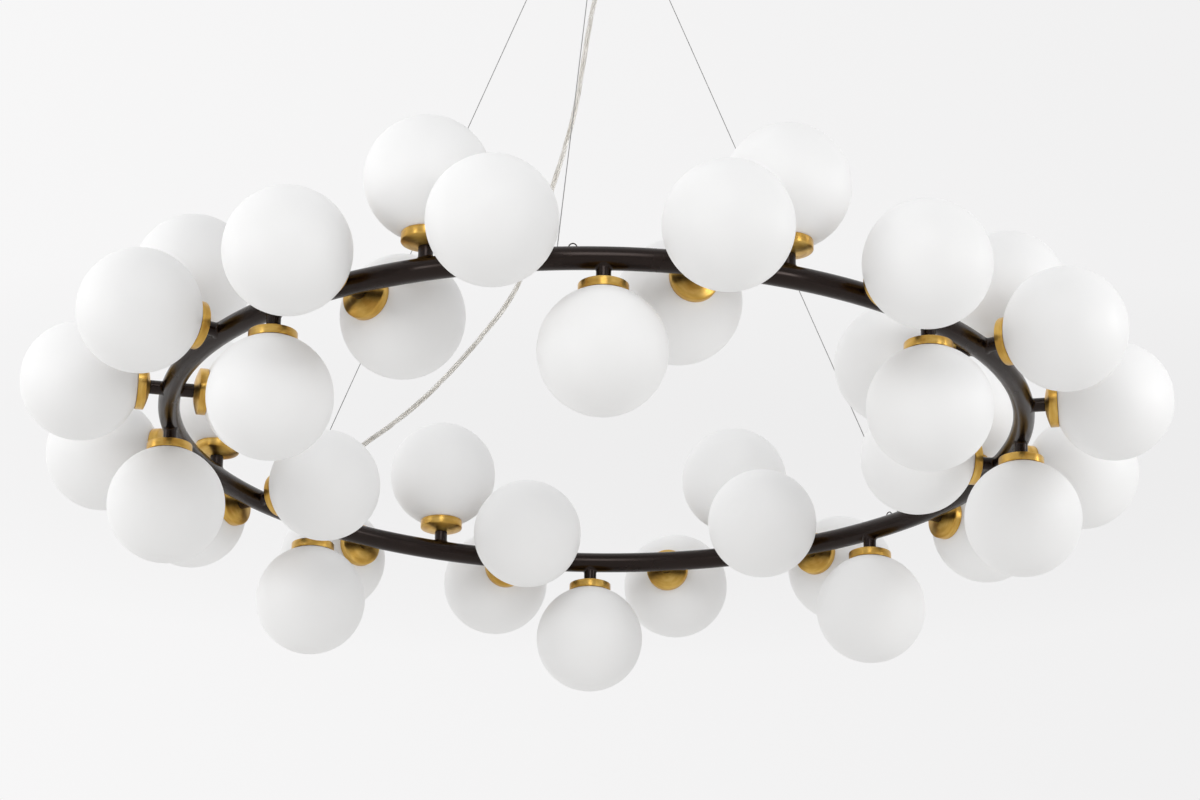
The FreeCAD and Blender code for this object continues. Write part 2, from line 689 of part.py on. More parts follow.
def check_and_write():
    """Stops on any failed object or bad shape, then writes every node to its own file."""
    doc.recompute()
    for thing in doc.Objects:
        if "Invalid" in thing.State or "Error" in thing.State:
            raise RuntimeError("%s: %s" % (thing.Label, thing.State))
    for node in nodes:
        if node.Shape.isNull() or not node.Shape.isValid():
            raise RuntimeError("bad shape in " + node.Label)
    for node in nodes:
        node.Shape.exportStep("parts/%s.step" % node.Label)
    print("%d nodes, %d solids" % (len(nodes), sum(len(node.Shape.Solids) for node in nodes)))


make_ring()
make_arms()
make_bracket()
make_canopy()
make_canopy_fittings()
make_grippers()
make_wires()
make_loops()
make_glands()
make_cord()
check_and_write()
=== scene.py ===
import math

import bmesh
import bpy
import numpy as np
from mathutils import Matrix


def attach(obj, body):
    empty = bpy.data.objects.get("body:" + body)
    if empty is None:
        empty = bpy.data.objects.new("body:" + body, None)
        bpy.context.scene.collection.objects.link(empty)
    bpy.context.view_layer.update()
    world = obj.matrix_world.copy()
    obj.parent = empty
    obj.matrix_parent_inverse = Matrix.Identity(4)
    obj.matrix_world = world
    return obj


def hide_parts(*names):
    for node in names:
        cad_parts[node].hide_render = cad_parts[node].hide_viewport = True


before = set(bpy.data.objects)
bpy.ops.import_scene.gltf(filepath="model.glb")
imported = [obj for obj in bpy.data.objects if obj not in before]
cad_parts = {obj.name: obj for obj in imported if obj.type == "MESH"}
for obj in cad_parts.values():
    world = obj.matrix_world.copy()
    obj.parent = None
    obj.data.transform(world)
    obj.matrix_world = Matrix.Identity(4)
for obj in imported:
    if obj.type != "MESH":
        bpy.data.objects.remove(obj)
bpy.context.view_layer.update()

# The camera stands in front of the ring and below it, and looks up at it with a long lens, as
# the photograph does. Its place is given from the origin at the ceiling, in metres.
CAMERA_PLACE = (0.003489, -3.33724, -1.896686)
CAMERA_PITCH = math.radians(21.172)
CAMERA_ROLL = math.radians(0.699)
CAMERA_LENS = 103.896
SENSOR_WIDTH = 36.0

forward = np.array([0.0, math.cos(CAMERA_PITCH), math.sin(CAMERA_PITCH)])
down = np.array([0.0, math.sin(CAMERA_PITCH), -math.cos(CAMERA_PITCH)])
right = np.array([1.0, 0.0, 0.0])
camera_right = right * math.cos(CAMERA_ROLL) - down * math.sin(CAMERA_ROLL)
camera_down = right * math.sin(CAMERA_ROLL) + down * math.cos(CAMERA_ROLL)
lens = bpy.data.cameras.new("camera")
lens.lens = CAMERA_LENS
lens.sensor_width = SENSOR_WIDTH
camera = bpy.data.objects.new("camera", lens)
bpy.context.scene.collection.objects.link(camera)
pose = np.eye(4)
pose[:3, 0] = camera_right
pose[:3, 1] = -camera_down
pose[:3, 2] = -forward
pose[:3, 3] = CAMERA_PLACE
camera.matrix_world = pose.T.tolist()
bpy.context.scene.camera = camera


# The feed cord is clear flexible plastic over two twisted cores of tinned wire. It hangs slack
# from the canopy's gland, in one upright plane, and goes into the ring's gland.
RING_RADIUS = 0.4376
TUBE_RADIUS = 0.011
RING_HEIGHT = -0.635
CORD_RADIUS = 0.00275
CORD_PLANE = 138.0
CORD_ROUTE = [
    (0.0, 0.609), (0.0, 0.562), (0.005, 0.514), (0.016, 0.477), (0.0235, 0.438), (0.0305, 0.399),
    (0.041, 0.358), (0.056, 0.320), (0.073, 0.280), (0.090, 0.238), (0.109, 0.200), (0.133, 0.171),
    (0.164, 0.1485), (0.198, 0.1255), (0.234, 0.1045), (0.271, 0.0875), (0.309, 0.074), (0.340, 0.066),
    (0.366, 0.054), (0.40252, 0.02944), (0.43316, 0.00373),
]
CORE_RADIUS = 0.00116
CORE_OFFSET = 0.0012
CORE_TWIST = 0.15
CORE_STEP = 0.0025
CORE_COUNT = 2
CORE_SIDES = 12
STRAND_LAY = 0.09
SPUN_PER_METRE = 100.0
MERGE_DISTANCE = 1e-6
NOISE_LOW = 0.3
NOISE_HIGH = 0.7


def radial(angle):
    """The flat unit vector at an angle in degrees: (cos angle, sin angle, 0)."""
    turn = np.radians(angle)
    return np.stack([np.cos(turn), np.sin(turn), 0.0 * turn], -1)


def grid_faces(rows, columns, closed_rows=False, closed_columns=True):
    """Quads between neighbours of a stored grid; a closed way joins its last line to its first."""
    row = np.arange(rows if closed_rows else rows - 1)
    column = np.arange(columns if closed_columns else columns - 1)
    a, b = np.meshgrid(row, column, indexing="ij")
    after = (a + 1) % rows
    beside = (b + 1) % columns
    corners = [a * columns + b, a * columns + beside, after * columns + beside, after * columns + b]
    return np.stack(corners, -1).reshape(-1, 4)


def make_piece(
    name, points, faces, finish, body="fixture", stands_for=(), crease=40.0, spun=None, wrap=None
):
    """A mesh from points and quads, merged, facing outwards, smooth but for edges past the crease angle."""
    mesh = bpy.data.meshes.new(name)
    mesh.vertices.add(len(points))
    mesh.vertices.foreach_set("co", np.ascontiguousarray(points, dtype=np.float32).ravel())
    mesh.loops.add(faces.size)
    mesh.loops.foreach_set("vertex_index", faces.ravel().astype(np.int32))
    mesh.polygons.add(len(faces))
    mesh.polygons.foreach_set("loop_start", np.arange(0, faces.size, 4, dtype=np.int32))
    mesh.update(calc_edges=True)
    if spun is not None:
        layer = mesh.attributes.new("spun", "FLOAT_VECTOR", "POINT")
        layer.data.foreach_set("vector", np.ascontiguousarray(spun, dtype=np.float32).ravel())
    if wrap is not None:
        around = mesh.uv_layers.new(name="turning")
        around.uv.foreach_set("vector", np.ascontiguousarray(wrap, dtype=np.float32).ravel())
    work = bmesh.new()
    work.from_mesh(mesh)
    bmesh.ops.remove_doubles(work, verts=work.verts, dist=MERGE_DISTANCE)
    bmesh.ops.recalc_face_normals(work, faces=work.faces)
    work.to_mesh(mesh)
    work.free()
    mesh.shade_smooth()
    mesh.set_sharp_from_angle(angle=math.radians(crease))
    mesh.materials.append(finish)
    piece = bpy.data.objects.new(name, mesh)
    bpy.context.scene.collection.objects.link(piece)
    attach(piece, body)
    if stands_for:
        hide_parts(*stands_for)
    return piece


def new_finish(name, colour, roughness, metallic=0.0, **more):
    """A material with one principled shader, its uniform values set on the shader itself."""
    material = bpy.data.materials.new(name)
    material.use_nodes = True
    shader = material.node_tree.nodes["Principled BSDF"]
    shader.inputs["Base Color"].default_value = (*colour, 1.0)
    shader.inputs["Roughness"].default_value = roughness
    shader.inputs["Metallic"].default_value = metallic
    for socket, value in more.items():
        shader.inputs[socket.replace("_", " ")].default_value = value
    return material


def noise(material, scale, detail=3.0, stretch=(1.0, 1.0, 1.0), attribute=None):
    """Noise over object coordinates or a named attribute, stretched by three factors."""
    nodes = material.node_tree.nodes
    links = material.node_tree.links
    if attribute:
        source = nodes.new("ShaderNodeAttribute")
        source.attribute_name = attribute
        coordinates = source.outputs["Vector"]
    else:
        coordinates = nodes.new("ShaderNodeTexCoord").outputs["Object"]
    mapping = nodes.new("ShaderNodeMapping")
    mapping.inputs["Scale"].default_value = stretch
    texture = nodes.new("ShaderNodeTexNoise")
    texture.inputs["Scale"].default_value = scale
    texture.inputs["Detail"].default_value = detail
    links.new(coordinates, mapping.inputs["Vector"])
    links.new(mapping.outputs["Vector"], texture.inputs["Vector"])
    return texture.outputs["Fac"]


def shade(material, factor, stops):
    """Colours the surface by a factor, through (position, colour) stops."""
    nodes = material.node_tree.nodes
    links = material.node_tree.links
    ramp = nodes.new("ShaderNodeValToRGB")
    elements = ramp.color_ramp.elements
    while len(elements) < len(stops):
        elements.new(0.5)
    for element, (position, colour) in zip(elements, stops):
        element.position = position
        element.color = (*colour, 1.0)
    links.new(factor, ramp.inputs["Fac"])
    links.new(ramp.outputs["Color"], nodes["Principled BSDF"].inputs["Base Color"])


def roughen(material, factor, low, high):
    """Spreads the roughness between two values by a factor."""
    nodes = material.node_tree.nodes
    links = material.node_tree.links
    spread = nodes.new("ShaderNodeMapRange")
    spread.inputs["From Min"].default_value = NOISE_LOW
    spread.inputs["From Max"].default_value = NOISE_HIGH
    spread.inputs["To Min"].default_value = low
    spread.inputs["To Max"].default_value = high
    links.new(factor, spread.inputs["Value"])
    links.new(spread.outputs["Result"], nodes["Principled BSDF"].inputs["Roughness"])


def emboss(material, factor, height):
    """Raises the surface by a factor times a height in metres."""
    nodes = material.node_tree.nodes
    links = material.node_tree.links
    bump = nodes.new("ShaderNodeBump")
    bump.inputs["Distance"].default_value = height
    links.new(factor, bump.inputs["Height"])
    links.new(bump.outputs["Normal"], nodes["Principled BSDF"].inputs["Normal"])


def tubes_along(path, across, over, offset, radius, twist, count, around):
    """Cores wound on a path: path + offset (cos a, sin a) + radius (cos b, sin b), a growing with length."""
    length = np.concatenate([[0.0], np.cumsum(np.linalg.norm(np.diff(path, axis=0), axis=1))])
    b = np.linspace(0, 2 * np.pi, around, endpoint=False)[None, :, None]
    radii = np.full(len(path), radius)
    radii[[0, -1]] = 0.0
    cores = []
    for core in range(count):
        a = 2 * np.pi * (length / twist + core / count)
        centre = path + offset * (np.cos(a)[:, None] * across + np.sin(a)[:, None] * over)
        ring = np.cos(b) * across[:, None] + np.sin(b) * over[:, None]
        cores.append((centre[:, None] + radii[:, None, None] * ring).reshape(-1, 3))
    return np.concatenate(cores)


def repeat_faces(faces, points_each, copies):
    """The same faces for several copies of a piece stored one after another."""
    steps = np.arange(copies)[:, None, None] * points_each
    return (faces[None] + steps).reshape(-1, faces.shape[-1])


clear_sheath = new_finish(
    "clear_sheath", (0.99, 0.985, 0.972), 0.1, Transmission_Weight=0.95, IOR=1.4, Specular_IOR_Level=0.4
)
roughen(clear_sheath, noise(clear_sheath, 160.0), 0.05, 0.16)
tinned_cores = new_finish("tinned_cores", (0.88, 0.85, 0.79), 0.35, 0.1)
wound = noise(tinned_cores, 2.6, 1.0, (1.0, 1.0, 0.2), "spun")
shade(tinned_cores, wound, [(0.36, (0.68, 0.64, 0.57)), (0.52, (0.97, 0.95, 0.91))])
emboss(tinned_cores, wound, 0.00008)

outward = radial(CORD_PLANE)
route = [tuple(outward * out + np.array([0.0, 0.0, RING_HEIGHT + up])) for out, up in CORD_ROUTE]
curve = bpy.data.curves.new("cord_sheath", "CURVE")
curve.dimensions = "3D"
spline = curve.splines.new("NURBS")
spline.points.add(len(route) - 1)
for point, place in zip(spline.points, route):
    point.co = (*place, 1.0)
spline.order_u = 3
spline.use_endpoint_u = True
spline.resolution_u = 12
cord_sheath = bpy.data.objects.new("cord_sheath", curve)
bpy.context.scene.collection.objects.link(cord_sheath)
bpy.context.view_layer.update()
line = bpy.data.meshes.new_from_object(cord_sheath.evaluated_get(bpy.context.evaluated_depsgraph_get()))
line_points = np.array([vertex.co for vertex in line.vertices], float)
curve.bevel_depth = CORD_RADIUS
curve.bevel_resolution = 6
curve.use_fill_caps = True
curve.materials.append(clear_sheath)
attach(cord_sheath, "fixture")
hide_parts("power_cord")

run = np.concatenate([[0.0], np.cumsum(np.linalg.norm(np.diff(line_points, axis=0), axis=1))])
marks = np.arange(CORE_STEP, run[-1], CORE_STEP)
core_path = np.stack([np.interp(marks, run, line_points[:, k]) for k in range(3)], -1)
ahead = np.gradient(core_path, axis=0)
ahead /= np.linalg.norm(ahead, axis=1)[:, None]
sideways = np.broadcast_to(radial(CORD_PLANE + 90.0), core_path.shape)
upwards = np.cross(ahead, sideways)
around_core = np.linspace(0, 2 * np.pi, CORE_SIDES, endpoint=False) + 2 * np.pi * marks[:, None] / STRAND_LAY
along_core = marks[:, None] * SPUN_PER_METRE + 0 * around_core
strand = np.stack([np.cos(around_core), np.sin(around_core), along_core], -1)
cord_cores = make_piece(
    "cord_cores",
    tubes_along(
        core_path, sideways, upwards, CORE_OFFSET, CORE_RADIUS, CORE_TWIST, CORE_COUNT, CORE_SIDES
    ),
    repeat_faces(grid_faces(len(core_path), CORE_SIDES), len(core_path) * CORE_SIDES, CORE_COUNT),
    tinned_cores, spun=np.tile(strand.reshape(-1, 3), (CORE_COUNT, 1)),
)


# Three steel wires carry the ring. Each runs straight from a gripper in the canopy's cone into the
# tube, where a swaged ball holds it: six strands laid round a seventh, 1 mm over all.
WIRES = {"near": (267.0, 265.1), "right": (42.0, 40.0), "left": (151.5, 139.5)}
CANOPY_RIM = 0.085
CANOPY_NOSE = 0.0315
CANOPY_DEPTH = 0.04
CONE_START = 0.005
CONE_HEIGHT = 0.035
CONE_WIDTH = 0.0535
GRIPPER_CIRCLE = 0.049
SEAT_HEIGHT = -(CONE_START + (CANOPY_RIM - GRIPPER_CIRCLE) * CONE_HEIGHT / CONE_WIDTH)
FOOT_TILT = 65.0
FOOT_REACH = 0.00635
WIRE_RADIUS = 0.0005
WIRE_TAIL = 0.024
STRAND_RADIUS = WIRE_RADIUS / 3
STRAND_TWIST = 0.007
STRAND_STEP = STRAND_TWIST / 9
STRAND_SIDES = 6
OUTER_STRANDS = 6
BALL_RADIUS = 0.003
BALL_ROWS = 17
BALL_AROUND = 24


def arm_frame(angle, tilt):
    """On the tube's centre line: the point, the way along the ring, across it, and out of the tube."""
    outward = radial(angle)
    turn = math.radians(tilt)
    out = outward * math.cos(turn) + np.array([0.0, 0.0, math.sin(turn)])
    along = radial(angle + 90.0)
    centre = outward * RING_RADIUS + np.array([0.0, 0.0, RING_HEIGHT])
    return centre, along, np.cross(out, along), out


def wire_frame(gripper_angle, foot_angle):
    """At a gripper's seat: the point, two ways across the wire, the way down it, and its length."""
    seat = radial(gripper_angle) * GRIPPER_CIRCLE + np.array([0.0, 0.0, SEAT_HEIGHT])
    centre, _, _, out = arm_frame(foot_angle, FOOT_TILT)
    way = centre + out * FOOT_REACH - seat
    length = np.linalg.norm(way)
    way = way / length
    across = np.cross(way, radial(gripper_angle + 90.0))
    across /= np.linalg.norm(across)
    return seat, np.cross(across, way), across, way, length


def turned(profile, around, flats=()):
    """A profile of (radius, height) turned about Z: x = r cos t, y = r sin t, z = height.
    A row named in flats is a hexagon, r / cos(t within its side)."""
    profile = np.asarray(profile, float)
    t = np.linspace(0, 2 * np.pi, around, endpoint=False)
    radius = np.repeat(profile[:, :1], around, axis=1)
    side = (t + np.pi / 6) % (np.pi / 3) - np.pi / 6
    radius[list(flats)] /= np.cos(side)
    height = np.broadcast_to(profile[:, 1:], radius.shape)
    return np.stack([radius * np.cos(t), radius * np.sin(t), height], -1).reshape(-1, 3)


def stand(points, frames):
    """Points of a piece's own frame, copied to each frame: origin + x X + y Y + z Z."""
    return np.concatenate([place[0] + points @ np.stack(place[1:4]) for place in frames])


steel_wire = new_finish("steel_wire", (0.38, 0.38, 0.38), 0.6, 0.85)
shade(steel_wire, noise(steel_wire, 300.0, 2.0), [(0.3, (0.32, 0.32, 0.325)), (0.7, (0.44, 0.44, 0.435))])
nickel = new_finish("nickel", (0.58, 0.56, 0.52), 0.28, 1.0)
shade(nickel, noise(nickel, 120.0), [(0.3, (0.5, 0.485, 0.45)), (0.7, (0.62, 0.605, 0.57))])
roughen(nickel, noise(nickel, 500.0), 0.2, 0.38)

wire_frames = {name: wire_frame(*angles) for name, angles in WIRES.items()}
ball_turn = np.linspace(0, math.pi, BALL_ROWS)
ball_profile = [(BALL_RADIUS * math.sin(t), BALL_RADIUS * math.cos(t)) for t in ball_turn]
for name, (seat, across, over, way, length) in wire_frames.items():
    marks = np.arange(-WIRE_TAIL, length, STRAND_STEP)
    path = seat + marks[:, None] * way
    sides = np.broadcast_to(across, path.shape), np.broadcast_to(over, path.shape)
    outer = tubes_along(
        path, *sides, 2 * STRAND_RADIUS, STRAND_RADIUS, STRAND_TWIST, OUTER_STRANDS, STRAND_SIDES
    )
    middle = tubes_along(path, *sides, 0.0, STRAND_RADIUS, STRAND_TWIST, 1, STRAND_SIDES)
    strand_faces = grid_faces(len(path), STRAND_SIDES)
    wire = make_piece(
        name + "_wire", np.concatenate([outer, middle]),
        repeat_faces(strand_faces, len(path) * STRAND_SIDES, OUTER_STRANDS + 1),
        steel_wire, stands_for=["wire_" + name], crease=80.0,
    )
    end = seat + length * way
    ball = make_piece(
        "ball_" + name, stand(turned(ball_profile, BALL_AROUND), [(end, across, over, way)]),
        grid_faces(BALL_ROWS, BALL_AROUND), nickel, stands_for=["wire_end_balls"],
    )


# Forty globes of blown opal glass, satin etched. Each hangs on its own short threaded neck in a
# cup, and its far pole keeps the faint flat of the mould.
GLOBE_RADIUS = 0.06
GLASS_WALL = 0.0022
NECK_RADIUS = 0.0175
NECK_WALL = 0.003
NECK_END = 0.0274
NECK_EDGE = 0.0004
GLOBE_CENTRE = 0.0912021
GLOBE_AROUND = 96
FLAT_RADIUS = 0.010
FLAT_DEPTH = 0.0005
FLAT_EDGE = 5
POLE_TURN = 0.25
POLE_ROWS = 14
SIDE_TURN = 0.31
SIDE_ROWS = 44
INSIDE_ROWS = 20
SECTORS = 8
FIRST_ARM = 0.7
TO_PAIR = 12.0
TO_UPWARD = 23.0
TO_SINGLE = 34.0

arms = {}
for sector in range(SECTORS):
    start = FIRST_ARM + sector * 360.0 / SECTORS
    arms["globe_down_%d" % (sector + 1)] = arm_frame(start, 270.0)
    arms["globe_outer_%d" % (2 * sector + 1)] = arm_frame(start + TO_PAIR, 0.0)
    arms["globe_inner_%d" % (sector + 1)] = arm_frame(start + TO_PAIR, 180.0)
    arms["globe_up_%d" % (sector + 1)] = arm_frame(start + TO_UPWARD, 90.0)
    arms["globe_outer_%d" % (2 * sector + 2)] = arm_frame(start + TO_SINGLE, 0.0)


def globe_profile():
    """From the far pole over the sphere, c + R cos t and R sin t, to the neck, and back inside.
    The flat takes depth / (1 + (r / its radius)^5) off the height."""
    inner_radius = GLOBE_RADIUS - GLASS_WALL
    bore = NECK_RADIUS - NECK_WALL
    last = math.pi - math.asin(NECK_RADIUS / GLOBE_RADIUS)
    t = np.concatenate([np.linspace(0.0, POLE_TURN, POLE_ROWS), np.linspace(SIDE_TURN, last, SIDE_ROWS)])
    r = GLOBE_RADIUS * np.sin(t)
    flat = FLAT_DEPTH / (1 + (r / FLAT_RADIUS) ** FLAT_EDGE)
    outside = np.stack([r, GLOBE_CENTRE + GLOBE_RADIUS * np.cos(t) - flat], -1)
    s = np.linspace(math.pi - math.asin(bore / inner_radius), 0.0, INSIDE_ROWS)
    inside = np.stack([inner_radius * np.sin(s), GLOBE_CENTRE + inner_radius * np.cos(s)], -1)
    neck = [(NECK_RADIUS, NECK_END + NECK_EDGE), (NECK_RADIUS - NECK_EDGE, NECK_END), (bore, NECK_END)]
    return np.concatenate([outside, neck, inside])


opal_glass = new_finish("opal_glass", (0.93, 0.93, 0.93), 0.46, Specular_IOR_Level=0.35)
shade(opal_glass, noise(opal_glass, 7.0, 4.0), [(0.3, (0.92, 0.92, 0.921)), (0.7, (0.94, 0.94, 0.941))])
roughen(opal_glass, noise(opal_glass, 45.0), 0.42, 0.52)
emboss(opal_glass, noise(opal_glass, 900.0, 2.0), 0.000006)
profile = globe_profile()
globe_points = turned(profile, GLOBE_AROUND)
globe_faces = grid_faces(len(profile), GLOBE_AROUND)
for name, place in arms.items():
    make_piece(
        name.replace("globe", "glass"), stand(globe_points, [place]), globe_faces,
        opal_glass, body=name, stands_for=[name],
    )


# Forty cups hold the globes: spun brass, brushed and aged, with a straight band at the rim and a
# shallow domed back. A threaded sleeve inside takes the glass neck.
CUP_RADIUS = 0.0235
CUP_WALL = 0.0012
CUP_BACK = 0.0221
CUP_RIM = 0.0352
BAND_FOOT = 0.0268
CUP_HOLE = 0.005
CUP_EDGE = 0.0004
CUP_CORNER = 0.0001
CUP_AROUND = 64
DOME_START = 0.0074
DOME_EDGE = 0.0003
DOME_ROWS = 13
INNER_CORNER = 0.0275
INNER_START = 0.0114
SLEEVE = (0.0178, 0.0192)
SLEEVE_FOOT = (0.0258, 0.0263)
SLEEVE_TOP = 0.0332
GRAIN_SHIFT = (9.0, 5.0, 0.0)


def cup_profile():
    """The back is domed, z = back + (foot - back) (r^2 - a^2) / (R^2 - a^2); then comes the band."""
    r = np.linspace(DOME_START, CUP_RADIUS - DOME_EDGE, DOME_ROWS)
    rise = (r**2 - DOME_START**2) / (CUP_RADIUS**2 - DOME_START**2)
    dome = np.stack([r, CUP_BACK + (BAND_FOOT - CUP_BACK) * rise], -1)
    inner = CUP_RADIUS - CUP_WALL
    rim = [
        (CUP_RADIUS, BAND_FOOT + CUP_EDGE), (CUP_RADIUS, CUP_RIM - CUP_EDGE),
        (CUP_RADIUS - CUP_CORNER, CUP_RIM - CUP_CORNER), (CUP_RADIUS - CUP_EDGE, CUP_RIM), (inner, CUP_RIM),
    ]
    inside = [
        (inner, INNER_CORNER), (SLEEVE[1], SLEEVE_FOOT[1]), (SLEEVE[1], SLEEVE_TOP), (SLEEVE[0], SLEEVE_TOP),
        (SLEEVE[0], SLEEVE_FOOT[0]), (INNER_START, CUP_BACK + CUP_WALL), (CUP_HOLE, CUP_BACK + CUP_WALL),
    ]
    return np.concatenate([[(CUP_HOLE, CUP_BACK)], dome, rim, inside])


def turned_wrap(profile, around, closed):
    """Flat coordinates of each quad's corners: the share of the turn, and the length along the profile."""
    rows = len(profile)
    faces = grid_faces(rows, around, closed_rows=closed)
    first = faces[:, 0]
    a, b = first // around, first % around
    length = np.concatenate([[0.0], np.cumsum(np.linalg.norm(np.diff(profile, axis=0), axis=1))])
    length = np.append(length, length[-1] + np.linalg.norm(profile[0] - profile[-1]))
    u = np.stack([b, b + 1, b + 1, b], -1) / around
    v = length[np.stack([a, a, a + 1, a + 1], -1)]
    return np.stack([u, v], -1)


aged_brass = new_finish(
    "aged_brass", (0.64, 0.385, 0.08), 0.36, 1.0, Anisotropic=0.8, Anisotropic_Rotation=0.25,
    Coat_Weight=0.3, Coat_Roughness=0.4, Coat_IOR=1.5,
)
shade(
    aged_brass, noise(aged_brass, 1.1, 3.0, (1.0, 1.0, 160.0), "spun"),
    [(0.3, (0.53, 0.29, 0.048)), (0.5, (0.64, 0.385, 0.080)), (0.7, (0.75, 0.49, 0.130))],
)
roughen(aged_brass, noise(aged_brass, 1.0, 3.0, (1.0, 1.0, 900.0), "spun"), 0.32, 0.40)
emboss(aged_brass, noise(aged_brass, 1.0, 1.0, (0.3, 0.3, 4200.0), "spun"), 0.000006)
tangent = aged_brass.node_tree.nodes.new("ShaderNodeTangent")
tangent.direction_type = "UV_MAP"
tangent.uv_map = "turning"
brass_shader = aged_brass.node_tree.nodes["Principled BSDF"]
aged_brass.node_tree.links.new(tangent.outputs["Tangent"], brass_shader.inputs["Tangent"])

profile = cup_profile()
cup = turned(profile, CUP_AROUND)
turn = np.arctan2(cup[:, 1], cup[:, 0])
length = np.concatenate([[0.0], np.cumsum(np.linalg.norm(np.diff(profile, axis=0), axis=1))])
spun = np.stack([np.cos(turn), np.sin(turn), np.repeat(length, CUP_AROUND)], -1)
apart = np.arange(len(arms))[:, None, None] * np.array(GRAIN_SHIFT)
cup_wrap = turned_wrap(profile, CUP_AROUND, True)
cup_faces = grid_faces(len(profile), CUP_AROUND, closed_rows=True)
make_piece(
    "brass_cups", stand(cup, arms.values()), repeat_faces(cup_faces, len(cup), len(arms)),
    aged_brass, stands_for=["cups"], crease=50.0,
    spun=(spun[None] + apart).reshape(-1, 3), wrap=np.tile(cup_wrap, (len(arms), 1, 1)),
)


# The ring is one steel tube bent round and welded, finished in a satin bronze black. Forty short
# stems of the same finish are welded on square, each with a small bead round its foot.
RING_STEPS = 720
RING_SIDES = 40
STEM_RADIUS = 0.007
STEM_AROUND = 40
STEM_TOP = CUP_BACK - 0.0001
STEM_EDGE = 0.0004
STEM_THREAD = 0.0049
STEM_BORE = 0.0035
THREAD_DEPTH = CUP_BACK + 0.008
TUBE_INSIDE = 0.0065
FOOT_INSIDE = 0.0085
BEAD_RADIUS = 0.0085
BEAD_HEIGHT = 0.0022

bronze_black = new_finish(
    "bronze_black", (0.0046, 0.0021, 0.0015), 0.25,
    Specular_IOR_Level=0.32, Specular_Tint=(1.0, 0.82, 0.76, 1.0),
)
shade(
    bronze_black, noise(bronze_black, 9.0, 2.0),
    [(0.3, (0.0037, 0.0016, 0.0011)), (0.7, (0.0055, 0.0026, 0.0019))],
)
roughen(bronze_black, noise(bronze_black, 30.0, 2.0), 0.22, 0.28)


def torus(major, minor, steps, around):
    """A closed tube: (R + r cos b) out from the axis and r sin b up, at each angle a round it."""
    a = np.linspace(0, 2 * np.pi, steps, endpoint=False)[:, None]
    b = np.linspace(0, 2 * np.pi, around, endpoint=False)[None]
    out = major + minor * np.cos(b)
    return np.stack([out * np.cos(a), out * np.sin(a), minor * np.sin(b) + 0 * a], -1).reshape(-1, 3)


make_piece(
    "ring", torus(RING_RADIUS, TUBE_RADIUS, RING_STEPS, RING_SIDES) + np.array([0.0, 0.0, RING_HEIGHT]),
    grid_faces(RING_STEPS, RING_SIDES, closed_rows=True),
    bronze_black, stands_for=["ring_tube"],
)


def stem_points(around):
    """Rows turned about Z; the foot's rows follow the tube, z = sqrt(R^2 - y^2) + lift."""
    t = np.linspace(0, 2 * np.pi, around, endpoint=False)
    lift = np.array([-0.0006, 0.0, 0.0003, 0.0007, 0.0013, BEAD_HEIGHT])
    swell = np.array([1.15, 1.0, 0.62, 0.32, 0.1, 0.0]) * (BEAD_RADIUS - STEM_RADIUS)
    foot_radius = (STEM_RADIUS + swell)[:, None] + 0 * t
    y = foot_radius * np.sin(t)
    foot_height = np.sqrt(TUBE_RADIUS**2 - np.minimum(np.abs(y), TUBE_RADIUS) ** 2) + lift[:, None]
    top = np.array([
        (STEM_RADIUS, STEM_TOP - STEM_EDGE), (STEM_RADIUS - STEM_EDGE, STEM_TOP), (STEM_THREAD, STEM_TOP),
        (STEM_THREAD, THREAD_DEPTH), (STEM_BORE, THREAD_DEPTH), (STEM_BORE, TUBE_INSIDE),
        (STEM_THREAD, TUBE_INSIDE), (STEM_THREAD, FOOT_INSIDE),
    ])
    radius = np.concatenate([foot_radius, top[:, :1] + 0 * t])
    height = np.concatenate([foot_height, top[:, 1:] + 0 * t])
    return np.stack([radius * np.cos(t), radius * np.sin(t), height], -1).reshape(-1, 3)


stem = stem_points(STEM_AROUND)
stem_faces = grid_faces(len(stem) // STEM_AROUND, STEM_AROUND, closed_rows=True)
make_piece(
    "stem_set", stand(stem, arms.values()), repeat_faces(stem_faces, len(stem), len(arms)),
    bronze_black, stands_for=["stems"],
)


# Beside each wire a small loop of black wire stands on the tube's crown, both its ends let into
# the steel. It takes the tie that keeps a wire from slipping round.
LOOP_RADIUS = 0.0037
LOOP_WIRE = 0.0006
LOOP_OFFSET = 0.0143
LOOP_BEND = (-25.0, 205.0)
LOOP_STEPS = 40
LOOP_SIDES = 12

loops = []
for _, foot_angle in WIRES.values():
    centre, along, across, up = arm_frame(foot_angle + math.degrees(LOOP_OFFSET / RING_RADIUS), 90.0)
    bend = np.radians(np.linspace(*LOOP_BEND, LOOP_STEPS))[:, None]
    path = centre + up * (TUBE_RADIUS + LOOP_RADIUS * np.sin(bend)) + along * LOOP_RADIUS * np.cos(bend)
    out = up * np.sin(bend) + along * np.cos(bend)
    flat = np.broadcast_to(across, path.shape)
    loops.append(tubes_along(path, flat, out, 0.0, LOOP_WIRE, 1.0, 1, LOOP_SIDES))
loop_faces = grid_faces(LOOP_STEPS, LOOP_SIDES)
make_piece(
    "tie_loops", np.concatenate(loops), repeat_faces(loop_faces, LOOP_STEPS * LOOP_SIDES, len(WIRES)),
    bronze_black, stands_for=["wire_loops"],
)


# Inside each globe a ceramic lampholder stands on the stem's thread and holds a frosted capsule
# lamp. Both are hidden by the opal glass and keep the solids' own shapes.
holder_ceramic = new_finish("holder_ceramic", (0.78, 0.75, 0.68), 0.55)
shade(holder_ceramic, noise(holder_ceramic, 60.0), [(0.3, (0.74, 0.71, 0.63)), (0.7, (0.82, 0.80, 0.74))])
frosted_lamp = new_finish("frosted_lamp", (0.86, 0.85, 0.82), 0.4)
roughen(frosted_lamp, noise(frosted_lamp, 200.0), 0.35, 0.5)


